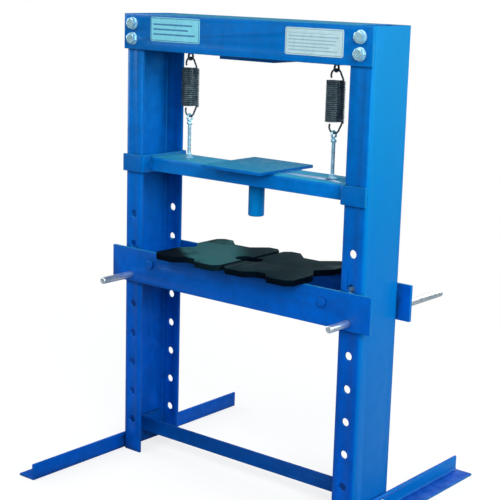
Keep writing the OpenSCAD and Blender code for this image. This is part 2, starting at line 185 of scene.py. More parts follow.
def enamel(name, base, wear_and_highlight=1.0, painted_top_light=(0.010, 0.25, 0.42)):
    """Glossy enamel over steel: orange peel, tone drift, chipped corners and rubbed edges, with
    painted light on the upper, top and right-hand outer faces, painted shade in the corners and a
    painted highlight on every corner.
    The last argument is the painted light tone of faces that look up."""
    painted_light_share = 0.85
    corner_shade_colour, chip_colour, scratch_colour = \
        (0.008, 0.022, 0.055), (0.16, 0.21, 0.25), (0.04, 0.22, 0.50)
    m = Material(name)
    broad = m.noise(scale=5.0, detail=3.0, rough=0.55)
    medium = m.noise(scale=38.0, detail=3.0, rough=0.6)
    x, _, z = m.split(m.place)
    # painted light: the paint is made greener and lighter towards the top of the frame, where the
    # light is stronger
    high = m.ramp(z, over=(0.25, 1.0))
    colour = m.mix(high, scaled(base, (1, 0.76, 1)), scaled(base, (1, 1.22, 0.98)))
    tone = m.plus(m.ramp(broad, over=(0.32, 0.68), to=(0.86, 1.10)),
                  m.ramp(medium, over=(0.35, 0.70), to=(0.04, -0.12)))
    grey = m.node("ShaderNodeCombineColor", {0: tone, 1: tone, 2: tone}).outputs[0]
    colour = m.mix(1.0, colour, grey, mode="MULTIPLY")
    # painted light: the right-hand outer faces, which face the main light, and the higher faces
    # that look up are made greener and lighter
    facing_x, _, facing_z = m.split(m.normal)
    outer = m.times(m.ramp(facing_x, over=(0.3, 1.0)), m.ramp(x, over=(0.29, 0.335)))
    painted_lit_colour = m.mix(high, scaled(base, (1, 1.5, 1.12)), scaled(base, (1, 2.1, 1.12)))
    colour = m.mix(m.times(outer, painted_light_share), colour, painted_lit_colour)
    # painted light: higher faces that look up take a lighter teal tone
    upward = m.times(m.ramp(facing_z, over=(0.5, 1.0), to=(0.0, painted_light_share)),
                     m.ramp(z, over=(0.1, 0.65)))
    colour = m.mix(upward, colour, painted_top_light)
    # painted shade in the corners, from ambient occlusion broken up by noise
    open_air = m.node("ShaderNodeAmbientOcclusion", {"Distance": 0.03}, samples=4).outputs["AO"]
    corner_shade = m.times(m.ramp(open_air, over=(0.75, 0.25)),
                   m.ramp(m.noise(scale=60.0, detail=3.0), over=(0.30, 0.65), to=(0.2, 0.75)))
    colour = m.mix(corner_shade, colour, corner_shade_colour)
    # rubbed and chipped corners, and a painted highlight along every corner
    chips = m.noise(scale=150.0, detail=4.0, rough=0.65)
    patches = m.noise(scale=11.0)
    corner = m.edges(radius=1.6 * MM)
    broken = m.plus(m.times(chips, 0.55), m.times(patches, 0.55))
    rub = m.times(m.times(corner, m.ramp(broken, over=(0.56, 0.66))), 0.75 * wear_and_highlight)
    # painted highlight: every corner is made lighter and greener, scaled with the wear
    edge_highlight = m.times(corner, 0.30 * wear_and_highlight)
    edge_highlight_colour = (base[0] + 0.02, base[1] * 1.8 + 0.02, base[2] * 1.2)
    colour = m.mix(edge_highlight, colour, edge_highlight_colour)
    colour = m.mix(rub, colour, chip_colour)
    scratch = m.times(m.scratches(seed=0.17, density=0.715), 0.22 * wear_and_highlight)
    colour = m.mix(scratch, colour, scratch_colour)
    # the corners with painted shade, the scratches and the dust on upward faces are made duller
    # than the paint
    rough = m.ramp(medium, over=(0.2, 0.8), to=(0.30, 0.44))
    rough = m.plus(rough, m.times(corner_shade, 0.3))
    rough = m.plus(rough, m.times(scratch, 0.4), clamp=True)
    dust = m.times(m.ramp(facing_z, over=(0.5, 1.0)),
                   m.ramp(medium, over=(0.3, 0.7), to=(0.12, 0.26)))
    wave = m.bump(m.noise(scale=70.0, detail=1.0), strength=0.10, distance=0.0012)
    peel = m.bump(m.noise(scale=420.0, detail=1.5), strength=0.16, distance=0.0003, normal=wave)
    m.set(Base_Color=colour,
          Roughness=m.plus(rough, dust, clamp=True),
          Metallic=m.times(rub, 0.6),
          Specular_IOR_Level=m.ramp(facing_z, over=(0.5, 1.0), to=(0.38, 0.10)),
          Specular_Tint=(0.03, 0.42, 1.0),
          Coat_Weight=m.ramp(facing_z, over=(0.5, 1.0), to=(0.025, 0.0)),
          Coat_Roughness=0.14,
          Normal=m.bump(m.minus(1.0, rub), strength=0.25, distance=0.0002, normal=peel))
    return m.block


def zinc(name, base=(0.54, 0.88, 1.0), rough=0.30, marks=1.0, metal=0.70):
    """Bright zinc plate with a faint passivate cast, turning marks and a painted highlight on the
    edges.
    """
    spot_colour, zinc_edge_highlight = (0.30, 0.31, 0.31), (0.85, 0.87, 0.88)
    m = Material(name)
    cast = m.ramp(m.noise(scale=55.0, detail=3.0), over=(0.35, 0.68))
    colour = m.mix(cast, base, scaled(base, (0.80, 0.84, 0.90)))
    spots = m.ramp(m.noise(scale=240.0, detail=3.0, rough=0.7), over=(0.62, 0.72),
                   to=(0.0, 0.5 * marks))
    colour = m.mix(spots, colour, spot_colour)
    # painted highlight: the edges are made lighter
    colour = m.mix(m.times(m.edges(radius=0.8 * MM), 0.5), colour, zinc_edge_highlight)
    uneven = m.ramp(m.noise(scale=120.0, detail=3.0), over=(0.3, 0.7),
                    to=(rough - 0.08 * marks, rough + 0.12 * marks))
    turning = m.noise(scale=1.0, at=m.mapped(scale=(90, 90, 900)))
    grain = m.bump(m.noise(scale=600.0), strength=0.10 * marks, distance=0.0001)
    m.set(Base_Color=colour, Metallic=metal,
          Roughness=m.plus(uneven, m.times(spots, 0.3)),
          Normal=m.bump(turning, strength=0.12 * marks, distance=0.0002, normal=grain))
    return m.block


def spring_steel(name):
    """Oil-blackened spring wire with a thin sheen."""
    dark, light, rust_colour = (0.050, 0.080, 0.095), (0.110, 0.160, 0.185), (0.10, 0.065, 0.045)
    m = Material(name)
    colour = m.mix(m.ramp(m.noise(scale=90.0, detail=3.0), over=(0.35, 0.7)), dark, light)
    rust = m.ramp(m.noise(scale=260.0, detail=4.0, rough=0.7), over=(0.64, 0.74), to=(0.0, 0.35))
    m.set(Base_Color=m.mix(rust, colour, rust_colour), Metallic=0.55,
          Roughness=m.ramp(m.noise(scale=150.0), over=(0.3, 0.7), to=(0.26, 0.42)),
          Normal=m.bump(m.noise(scale=900.0), strength=0.12, distance=0.0001))
    return m.block


def plate_iron(name):
    """Flame-cut steel, dark green-black, with a rough skin, worn bright on the corners, a painted
    sheen on the left plate and painted shade on the sides and the front left corner.
    """
    dark, light = (0.0020, 0.0110, 0.0150), (0.0060, 0.0220, 0.0280)
    sheen_colour, plate_shade_colour = (0.036, 0.145, 0.155), (0.0005, 0.0012, 0.0060)
    grit_colour, worn_colour, scratch_colour = \
        (0.020, 0.048, 0.054), (0.14, 0.19, 0.20), (0.13, 0.17, 0.18)
    m = Material(name)
    broad = m.noise(scale=14.0, detail=4.0, rough=0.6)
    colour = m.mix(m.ramp(broad, over=(0.32, 0.68)), dark, light)
    x, y, _ = m.split(m.place)
    # slanted distances: the front left corner stays dark, and a painted sheen lightens the rest of
    # the left plate
    corner = m.plus(m.times(x, 0.76), m.times(y, 1.05))
    across = m.plus(m.times(x, 0.78), m.times(y, 0.625))
    left = m.times(m.ramp(x, over=(0.001, -0.001)), m.ramp(across, over=(-0.005, -0.060)))
    left = m.times(left, m.ramp(corner, over=(-0.211, -0.176)))
    # painted sheen: patchy lighter green over the left plate
    painted_sheen = m.times(m.ramp(m.noise(scale=9.0, detail=3.0, rough=0.6), over=(0.26, 0.46)), left)
    colour = m.mix(m.times(painted_sheen, 0.85), colour, sheen_colour)
    # painted shade: the faces that do not look up and the front left corner are made blue-black
    facing_z = m.split(m.normal)[Z]
    wavy_corner = m.plus(corner, m.times(broad, 0.03))
    plate_shade = m.math("MAXIMUM", m.ramp(facing_z, over=(0.75, 0.35), to=(0.0, 0.92)),
                        m.ramp(wavy_corner, over=(-0.164, -0.194), to=(0.0, 0.85)))
    colour = m.mix(plate_shade, colour, plate_shade_colour)
    grit = m.noise(scale=320.0, detail=4.0, rough=0.7)
    grit_amount = m.times(m.ramp(grit, over=(0.45, 0.72), to=(0.0, 0.45)),
                          m.minus(1.0, plate_shade))
    colour = m.mix(grit_amount, colour, grit_colour)
    worn = m.times(m.edges(radius=1.8 * MM),
                   m.ramp(m.noise(scale=60.0, detail=4.0, rough=0.65), over=(0.42, 0.60)))
    colour = m.mix(m.times(worn, 0.40), colour, worn_colour)
    scratch = m.times(m.scratches(seed=0.41, density=0.66, long=5.0, fine=260.0), 0.4)
    colour = m.mix(m.times(scratch, m.minus(1.0, plate_shade)), colour, scratch_colour)
    skin = m.bump(m.noise(scale=45.0, detail=3.0), strength=0.15, distance=0.0015)
    m.set(Base_Color=colour,
          Metallic=m.plus(0.08, m.times(worn, 0.6)),
          Roughness=m.minus(m.ramp(grit, over=(0.2, 0.8), to=(0.55, 0.78)), m.times(worn, 0.15)),
          Specular_IOR_Level=0.03, Specular_Tint=(0.3, 0.9, 1.0),
          Normal=m.bump(grit, strength=0.35, distance=0.0004, normal=skin))
    return m.block


def label_film(name, box, base, ink, bars, head):
    """A glossy label with a border, ruled bars and a plain heading band that takes up the
    fraction `head` of its height. It carries no lettering."""
    m = Material(name)
    x, _, z = m.split(m.place)
    lo, hi = box
    aspect = (hi.x - lo.x) / (hi.z - lo.z)
    u = m.ramp(x, over=(lo.x, hi.x), kind="LINEAR")
    v = m.ramp(z, over=(lo.z, hi.z), kind="LINEAR")
    # distance in from the outline, in label heights
    from_side = m.times(m.minus(0.5, m.math("ABSOLUTE", m.minus(u, 0.5))), aspect)
    from_end = m.minus(0.5, m.math("ABSOLUTE", m.minus(v, 0.5)))
    inset = m.math("MINIMUM", from_side, from_end)
    border = m.times(m.ramp(inset, over=(0.030, 0.040)), m.ramp(inset, over=(0.065, 0.055)))
    inside = m.ramp(inset, over=(0.150, 0.158))
    # each row holds one strip, and a sine hash of the row number sets where it ends
    rows = m.times(v, bars)
    in_row = m.math("FRACT", rows)
    strip = m.times(m.ramp(in_row, over=(0.30, 0.36)), m.ramp(in_row, over=(0.70, 0.64)))
    phase = m.plus(m.times(m.math("FLOOR", rows), 12.9898), 3.1)
    random = m.math("FRACT", m.times(m.math("SINE", phase), 437.58))
    strip_end = m.plus(0.62, m.times(random, 0.30))
    strip = m.times(m.times(strip, m.math("LESS_THAN", u, strip_end)), inside)
    heading = m.times(m.math("GREATER_THAN", v, 1 - head), inside)
    strip = m.times(strip, m.math("LESS_THAN", v, 1 - head - 0.03))
    faded = scaled(base, (0.90, 0.90, 0.90))
    colour = m.mix(m.ramp(m.noise(scale=24.0, detail=3.0), over=(0.3, 0.7)), base, faded)
    for print_mask in (border, m.times(strip, 0.8), m.times(heading, 0.9)):
        colour = m.mix(print_mask, colour, ink)
    grime_colour = (0.22, 0.30, 0.36)
    grime = m.ramp(m.noise(scale=130.0, detail=4.0, rough=0.7), over=(0.60, 0.74), to=(0.0, 0.35))
    m.set(Base_Color=m.mix(grime, colour, grime_colour),
          Roughness=m.ramp(m.noise(scale=80.0), over=(0.3, 0.7), to=(0.24, 0.38)),
          Coat_Weight=0.3, Coat_Roughness=0.12,
          Normal=m.bump(m.noise(scale=22.0), strength=0.08, distance=0.0008))
    return m.block


ENAMEL = enamel("enamel_blue", base=(0.0003, 0.112, 0.490))
# painted light and shade: copies of the one blue paint, made darker for the inner parts and the
# base crossbar and lighter for the crosspiece, its top faces and the stub
ENAMEL_SHADED = enamel("enamel_blue_shaded", base=(0.0003, 0.112, 0.450), wear_and_highlight=0.8)
ENAMEL_CROSS_LIT = enamel("enamel_blue_cross_lit", base=(0.0003, 0.150, 0.570), wear_and_highlight=0.8,
                      painted_top_light=(0.030, 0.36, 0.54))
ENAMEL_STUB_LIT = enamel("enamel_blue_stub_lit", base=(0.0003, 0.205, 0.600), wear_and_highlight=0.8)
ENAMEL_LOW_SHADED = enamel("enamel_blue_low_shaded", base=(0.0003, 0.078, 0.310))
ZINC = zinc("zinc_bright")
ZINC_PIN = zinc("zinc_pin", base=(0.84, 0.90, 0.92), marks=0.3, metal=0.92)
SPRING_STEEL = spring_steel("spring_black")
PLATE_IRON = plate_iron("plate_iron")
LABEL_LEFT = label_film("label_left_film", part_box("label_left"), base=(0.22, 0.66, 0.80),
                        ink=(0.01, 0.10, 0.30), bars=5.0, head=0.0)
LABEL_RIGHT = label_film("label_right_film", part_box("label_right"), base=(0.52, 0.70, 0.75),
                         ink=(0.20, 0.38, 0.50), bars=8.0, head=0.16)

OWN_MATERIAL = {node: material for material, nodes in (
    (ZINC_PIN, ("bed_pin_left", "bed_pin_right")),
    (ENAMEL, ("bed_spacer_bolts", "bed_spacer_nuts")),
    (ZINC, ("spring_rod_left", "spring_rod_right")),
    (LABEL_LEFT, ("label_left",)),
    (LABEL_RIGHT, ("label_right",)),
    (ENAMEL_CROSS_LIT, ("ram_crosspiece",)),
    (ENAMEL_STUB_LIT, ("ram_stub",)),
    (ENAMEL_LOW_SHADED, ("base_crossbar",)),
    (ENAMEL_SHADED, ("beam_bottom_plate", "jack_pad", "ram_guide_left", "ram_guide_right",
                    "jack_saddle", "bed_spacers"))) for node in nodes}


def material_of(node):
    if node in OWN_MATERIAL:
        return OWN_MATERIAL[node]
    if node.endswith(("_bolts", "_washers", "_nuts")):
        return ZINC
    if node.startswith(("spring_eye", "return_spring")):
        return SPRING_STEEL
    if node.startswith("press_plate"):
        return PLATE_IRON
    return ENAMEL


def dress(piece, material):
    piece.data.materials.clear()
    piece.data.materials.append(material)


def stand_for(piece, node):
    """The piece moves with the node's body and takes the node's place."""
    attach(piece, BODY[node])
    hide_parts(node)


# ------------------------------------------------------------------ steel members

def steel_member(node, width, segments=2):
    """The node's own shape with its sharp edges broken."""
    mesh = NODES[node].data.copy()
    mesh.name = "mesh_" + node
    bm = bmesh.new()
    bm.from_mesh(mesh)
    # the stub has a ring of 10 micron edges at its chamfer, which a bevel would fold over
    weld_distance = 3e-5 if node == "ram_stub" else 2e-6
    bmesh.ops.remove_doubles(bm, verts=bm.verts, dist=weld_distance)
    bmesh.ops.dissolve_limit(bm, angle_limit=math.radians(0.5), verts=bm.verts, edges=bm.edges,
                             delimit=set())
    for face in bm.faces:
        face.smooth = True
    for layer in list(bm.loops.layers.uv):
        bm.loops.layers.uv.remove(layer)
    bm.to_mesh(mesh)
    bm.free()
    if mesh.has_custom_normals:
        mesh.normals_split_custom_set([(0, 0, 0)] * len(mesh.loops))
    piece = bpy.data.objects.new(node + "_body", mesh)
    SCENE.collection.objects.link(piece)
    bevel = piece.modifiers.new("broken_edges", "BEVEL")
    bevel.width = width
    bevel.segments = segments
    bevel.limit_method = "ANGLE"
    bevel.angle_limit = math.radians(32)
    bevel.harden_normals = True
    bevel.use_clamp_overlap = False
    dress(piece, material_of(node))
    stand_for(piece, node)
    # a bevel that pushes the shape out of its box is clamped
    depsgraph = bpy.context.evaluated_depsgraph_get()
    depsgraph.update()
    bevelled = bpy.data.meshes.new_from_object(piece.evaluated_get(depsgraph),
                                               depsgraph=depsgraph)
    points = np.array([vertex.co for vertex in bevelled.vertices])
    bpy.data.meshes.remove(bevelled)
    lo, hi = np.array(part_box(node))
    overshoot = max((lo - points.min(0)).max(), (points.max(0) - hi).max())
    if not overshoot < 0.1 * MM:
        bevel.use_clamp_overlap = True


MEMBERS = ("left_upright", "right_upright", "beam_front_plate", "beam_rear_plate",
           "beam_top_plate", "beam_bottom_plate", "jack_pad", "ram_crosspiece",
           "ram_guide_left", "ram_guide_right", "jack_saddle", "ram_stub", "bed_front_rail",
           "bed_rear_rail", "bed_spacers", "base_crossbar", "foot_left", "foot_right")
for node in MEMBERS:
    steel_member(node, width=0.6 * MM if node in ("ram_stub", "bed_spacers") else 0.9 * MM)
for node in ("press_plate_left", "press_plate_right"):
    steel_member(node, width=1.3 * MM, segments=3)


# ------------------------------------------------------------------ mesh building

def mesh_object(name, verts, faces, material):
    mesh = bpy.data.meshes.new("mesh_" + name)
    mesh.from_pydata([tuple(vert) for vert in verts], [], faces)
    mesh.polygons.foreach_set("use_smooth", [True] * len(mesh.polygons))
    mesh.update()
    piece = bpy.data.objects.new(name, mesh)
    SCENE.collection.objects.link(piece)
    dress(piece, material)
    return piece


def crisp(piece, angle=33):
    """Smooth shading that stays sharp across edges steeper than the angle in degrees."""
    bm = bmesh.new()
    bm.from_mesh(piece.data)
    bmesh.ops.recalc_face_normals(bm, faces=bm.faces)
    for face in bm.faces:
        face.smooth = True
    for edge in bm.edges:
        edge.smooth = edge.calc_face_angle(0.0) < math.radians(angle)
    bm.to_mesh(piece.data)
    bm.free()
    return piece


def skin(rings, closed=False):
    """Faces between rings of equal length. An open stack gets flat caps, and a closed one
    joins its last ring to its first."""
    sides, count = len(rings[0]), len(rings)
    faces = []
    for i in range(count if closed else count - 1):
        a, b = i * sides, ((i + 1) % count) * sides
        for j in range(sides):
            after = (j + 1) % sides
            faces.append((a + j, a + after, b + after, b + j))
    if not closed:
        faces.append(tuple(reversed(range(sides))))
        faces.append(tuple((count - 1) * sides + j for j in range(sides)))
    return np.vstack(rings), faces


def merged(solids):
    """One vertex array and face list from several (verts, faces)."""
    all_verts, all_faces, base = [], [], 0
    for verts, faces in solids:
        all_verts.append(verts)
        all_faces += [tuple(base + i for i in face) for face in faces]
        base += len(verts)
    return np.vstack(all_verts), all_faces


def tube(path, radius, sides):
    """A capped round wire along a path, with one ring to each path point."""
    path = np.asarray(path, float)
    radius = np.broadcast_to(radius, len(path))
    tangent = np.gradient(path, axis=0)
    tangent /= np.linalg.norm(tangent, axis=1)[:, None]
    out = np.cross(tangent[0], [0.3, 1, 0.2])
    out /= np.linalg.norm(out)
    rings = []
    for i in range(len(path)):
        out = out - (out @ tangent[i]) * tangent[i]
        out /= np.linalg.norm(out)
        side = np.cross(tangent[i], out)
        angles = [2 * math.pi * j / sides for j in range(sides)]
        rings.append(np.array([path[i] + radius[i] * (math.cos(a) * out + math.sin(a) * side)
                               for a in angles]))
    return skin(rings)


def catmull(points, steps):
    """Catmull-Rom curve through the points, with the given steps between each pair."""
    points = [np.array(point, float) for point in points]
    points = [2 * points[0] - points[1]] + points + [2 * points[-1] - points[-2]]
    curve = []
    for i in range(1, len(points) - 2):
        a, b, c, d = points[i - 1:i + 3]
        for j in range(steps):
            t = j / steps
            curve.append(0.5 * ((2 * b) + (-a + c) * t + (2 * a - 5 * b + 4 * c - d) * t * t
                                + (-a + 3 * b - 3 * c + d) * t ** 3))
    curve.append(points[-2])
    return np.array(curve)


# ------------------------------------------------------------------ return springs

WIRE_RADIUS = 2.1 * MM
WIRE_SIDES = 12
HOOK_RADIUS = 13 * MM
HOOK_HEIGHT = 21 * MM       # from the wire's centre at the end of the hook to the coil
COIL_TURNS, TURN_STEPS = 20, 26
BEND_REACH, BEND_HEIGHT = 0.93, 4.2 * MM    # bend point: share of coil radius, and its offset


def return_spring(node):
    lo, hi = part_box(node)
    x, y = (lo.x + hi.x) / 2, 0.0
    coil_radius = (hi.x - lo.x) / 2 - WIRE_RADIUS
    wire_low, wire_high = lo.z + WIRE_RADIUS, hi.z - WIRE_RADIUS
    coil_low = wire_low + HOOK_HEIGHT + WIRE_RADIUS
    coil_high = wire_high - HOOK_HEIGHT - WIRE_RADIUS

    def hook(z, degrees):
        return [(x + HOOK_RADIUS * math.cos(math.radians(a)), y,
                 z + HOOK_RADIUS * math.sin(math.radians(a))) for a in degrees]

    low_hook = hook(wire_low + HOOK_RADIUS, range(-205, -14, 10))
    high_hook = hook(wire_high - HOOK_RADIUS, range(15, 206, 10))
    coil = []
    for i in range(COIL_TURNS * TURN_STEPS + 1):
        a = 2 * math.pi * i / TURN_STEPS
        coil.append((x + coil_radius * math.cos(a), y + coil_radius * math.sin(a),
                     coil_low + (coil_high - coil_low) * i / (COIL_TURNS * TURN_STEPS)))
    # the wire leaves each end coil in a short bend and runs into its hook
    bend_x = x + coil_radius * BEND_REACH
    low_bend = catmull([low_hook[-1], (bend_x, y, coil_low - BEND_HEIGHT), coil[0]], 5)
    high_bend = catmull([coil[-1], (bend_x, y, coil_high + BEND_HEIGHT), high_hook[0]], 5)
    path = np.vstack([catmull(low_hook, 2), low_bend[1:-1], np.array(coil),
                      high_bend[1:-1], catmull(high_hook, 2)])
    verts, faces = tube(path, WIRE_RADIUS, WIRE_SIDES)
    piece = mesh_object(node + "_wire", verts, faces, SPRING_STEEL)
    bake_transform(piece)
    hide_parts(node)


return_spring("return_spring_left")
return_spring("return_spring_right")


# ------------------------------------------------------------------ fasteners

HEX_SIDES = 36      # points round a bolt or nut
WASHER_SIDES = 44


def circle(radius, z, sides):
    """A ring about Z. The radius and the height may vary from point to point."""
    a = np.arange(sides) * 2 * math.pi / sides
    return np.column_stack([radius * np.cos(a), radius * np.sin(a), np.full(sides, z)])


def circles(profile, sides):
    """Rings from (radius, height) pairs."""
    return [circle(radius, z, sides) for radius, z in profile]


def hex_radii(flats):
    """Radii round a hexagon of the given width across flats."""
    a = np.arange(HEX_SIDES) * 2 * math.pi / HEX_SIDES
    from_flat = (a + math.pi / 6) % (math.pi / 3) - math.pi / 6
    return (flats / 2) / np.cos(from_flat)


def chamfer_drop(radii, chamfer_radius, degrees):
    """How far a conical chamfer falls away at each radius."""
    return np.maximum(0.0, radii - chamfer_radius) * math.tan(math.radians(degrees))


def thread_rings(radius, pitch, z_from, z_to, sides):
    """Rings of a helical thread, running down from z_from to z_to, with its crest at radius."""
    depth = 0.54 * pitch
    a = np.arange(sides) * 2 * math.pi / sides
    count = max(8, int(round((z_from - z_to) / pitch * 6)))
    rings = []
    for i in range(count + 1):
        z = z_from + (z_to - z_from) * i / count
        turn = (z / pitch + a / (2 * math.pi)) % 1.0
        crest = np.clip(1.0 - np.abs(turn * 2 - 1.0) * 1.25, 0.0, 0.9) / 0.9
        run_in = min(1.0, i / 6.0)
        tip = min(1.0, (count - i) / 5.0)
        radii = radius - depth * (1 - crest) * run_in
        radii = np.minimum(radii, radius - depth * 0.9 * (1 - tip))
        rings.append(circle(radii, z, sides))
    return rings


# Each solid below stands on z = 0, where the end that faces inwards is, and looks up +Z.

def bolt(height, _width, diameter, flats, head, pitch, thread):
    radius, face_radius = diameter / 2, flats * 0.475
    hexagon = hex_radii(flats)
    length = height - head
    top = head - chamfer_drop(hexagon, face_radius, 28)
    low = 0.35 * MM + chamfer_drop(hexagon, face_radius, 12)
    thread_start = -(length - thread)
    rings = circles((
        (face_radius * 0.45, head - 0.15 * MM), (face_radius * 0.97, head),
        (face_radius, head - 0.05 * MM), (hexagon, top), (hexagon, low),
        (face_radius, 0.3 * MM), (face_radius, 0.0), (radius + 0.4 * MM, 0.0),
        (radius, -0.4 * MM), (radius, thread_start + 0.5 * MM)), HEX_SIDES)
    rings += thread_rings(radius, pitch, thread_start, -length, HEX_SIDES)
    verts, faces = skin(rings)
    return verts + np.array((0, 0, length)), faces


def nut(height, _width, diameter, flats):
    bore, face_radius, lead = diameter / 2 + 0.1 * MM, flats * 0.475, 0.7 * MM
    hexagon = hex_radii(flats)
    drop = chamfer_drop(hexagon, face_radius, 28)
    return skin(circles((
        (bore, height - lead), (bore + lead, height), (face_radius, height),
        (hexagon, height - drop), (hexagon, drop), (face_radius, 0.0),
        (bore + lead, 0.0), (bore, lead)), HEX_SIDES), closed=True)


def washer(height, width, bore):
    rim = width / 2
    edge = min(0.3 * MM, height * 0.2)
    return skin(circles((
        (bore, edge), (bore + edge, 0), (rim - edge, 0), (rim, edge), (rim, height - edge),
        (rim - 2 * edge, height), (bore + 2 * edge, height), (bore, height - 2 * edge)),
        WASHER_SIDES), closed=True)


def islands(node):
    """(low corner, high corner) of each separate solid in a node."""
    bm = bmesh.new()
    bm.from_mesh(NODES[node].data)
    bmesh.ops.remove_doubles(bm, verts=bm.verts, dist=2e-6)
    seen, boxes = set(), []
    for start in bm.verts:
        if start in seen:
            continue
        stack, points = [start], []
        seen.add(start)
        while stack:
            vert = stack.pop()
            points.append(vert.co)
            for edge in vert.link_edges:
                other = edge.other_vert(vert)
                if other not in seen:
                    seen.add(other)
                    stack.append(other)
        points = np.array(points)
        boxes.append((Vector(points.min(0)), Vector(points.max(0))))
    bm.free()
    return sorted(boxes, key=lambda box: tuple(round(value, 4) for value in box[0]))


def placed(solid, origin, direction, spin=0.0):
    """The solid moved to the origin and turned so that its +Z looks along the direction."""
    verts, faces = solid
    turn = Vector((0, 0, 1)).rotation_difference(Vector(direction)).to_matrix().to_4x4()
    turn = turn @ Matrix.Rotation(spin, 4, "Z")
    return verts @ np.array(turn.to_3x3()).T + np.array(origin), faces


def group(name, solids, node, angle=33):
    """One piece from several placed solids, standing for the node."""
    piece = crisp(mesh_object(name, *merged(solids), material_of(node)), angle)
    stand_for(piece, node)


def fastener_set(node, axis, facing, build):
    """Every solid of a fastener node, remade. facing gives +1 or -1 from the solid's
    centre along the axis: the way its outer face looks."""
    across = (axis + 1) % 3
    solids = []
    for i, (lo, hi) in enumerate(islands(node)):
        origin = (lo + hi) / 2
        sign = facing(origin[axis])
        direction = Vector((0, 0, 0))
        direction[axis] = sign
        origin[axis] = lo[axis] if sign > 0 else hi[axis]
        solid = build(hi[axis] - lo[axis], hi[across] - lo[across])
        solids.append(placed(solid, origin, direction, spin=0.35 * i + 0.2))
    group(node + "_set", solids, node)


def outwards(centre):
    return 1 if centre > 0 else -1


def inwards(centre):
    return -outwards(centre)


def positive(_centre):
    return 1


def negative(_centre):
    return -1


M14 = dict(diameter=14 * MM, flats=21.7 * MM)
M12 = dict(diameter=12 * MM, flats=17.8 * MM)
M10 = dict(diameter=10 * MM, flats=15.8 * MM)
M8 = dict(diameter=8 * MM, flats=12.8 * MM)
BEAM_BOLT = partial(bolt, **M14, head=9 * MM, pitch=2.0 * MM, thread=22 * MM)
FOOT_BOLT = partial(bolt, **M10, head=6.5 * MM, pitch=1.5 * MM, thread=18 * MM)
SPACER_BOLT = partial(bolt, **M12, head=5 * MM, pitch=1.75 * MM, thread=26 * MM)

# node, axis, the way it faces, builder
FASTENERS = (
    ("beam_bolts", Y, outwards, BEAM_BOLT),
    ("beam_washers", Y, outwards, partial(washer, bore=7.3 * MM)),
    ("beam_nuts", Y, inwards, partial(nut, **M14)),
    ("foot_bolts", X, outwards, FOOT_BOLT),
    ("foot_washers", X, outwards, partial(washer, bore=5.3 * MM)),
    ("foot_nuts", X, inwards, partial(nut, **M10)),
    ("bed_spacer_bolts", Y, negative, SPACER_BOLT),
    ("bed_spacer_nuts", Y, positive, partial(nut, **M12)),
    ("spring_rod_washers", Z, positive, partial(washer, bore=4.3 * MM)),
    ("spring_rod_nuts", Z, positive, partial(nut, **M8)),
    ("spring_eye_nuts", Z, positive, partial(nut, **M8)),
)
for fastener in FASTENERS:
    fastener_set(*fastener)


# ------------------------------------------------------------------ bed pins

PIN_RADIUS = 8 * MM
# (inset from the pin's radius, distance from its end face) in mm
PIN_END = ((2.2, 0), (1.5, 0.25), (0.35, 1.4), (0, 2.4))


def bed_pin(node):
    lo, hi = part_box(node)
    length = hi.y - lo.y
    end = [(PIN_RADIUS - inset * MM, y * MM) for inset, y in PIN_END]
    middle = [(PIN_RADIUS, length * share) for share in (0.25, 0.5, 0.75)]
    profile = end + middle + [(radius, length - y) for radius, y in reversed(end)]
    origin = Vector(((lo.x + hi.x) / 2, lo.y, (lo.z + hi.z) / 2))
    solid = placed(skin(circles(profile, 48)), origin, (0, 1, 0))
    group(node + "_bar", [solid], node, angle=40)


bed_pin("bed_pin_left")
bed_pin("bed_pin_right")


# ------------------------------------------------------------------ spring rods and eyes

EYE_RADIUS, EYE_WIRE = 7.5 * MM, 2.5 * MM       # centre line of the ring, and its wire
EYE_STEPS, EYE_WIRE_SIDES, SHANK_SIDES = 48, 16, 32
SHANK_RADIUS, SHANK_PITCH = 4 * MM, 1.25 * MM
ROD_THREAD = 34 * MM
FLANGE = 2 * MM     # the lower eyes' flange lies against the underside of the beam
FLANGE_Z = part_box("beam_bottom_plate")[0].z - FLANGE
# (radius, height from the eye's centre line) in mm, running away from the eye
NECK = ((2.6, 1.6), (3.6, 0.2), (4.6, -1.2))
ROD_COLLAR = ((5.9, -2.6), (6.3, -3.2), (6.3, -7.9), (5.9, -8.5), (4, -8.6))


def eye_ring(x, z):
    """A ring of wire in the Y-Z plane."""
    rings = []
    for i in range(EYE_STEPS):
        a = 2 * math.pi * i / EYE_STEPS
        centre = Vector((0, EYE_RADIUS * math.cos(a), EYE_RADIUS * math.sin(a)))
        out = centre.normalized()
        angles = [2 * math.pi * j / EYE_WIRE_SIDES for j in range(EYE_WIRE_SIDES)]
        rings.append(np.array([centre + EYE_WIRE * (math.cos(b) * out
                                                    + math.sin(b) * Vector((1, 0, 0)))
                               for b in angles]))
    verts, faces = skin(rings, closed=True)
    return verts + np.array((x, 0, z)), faces


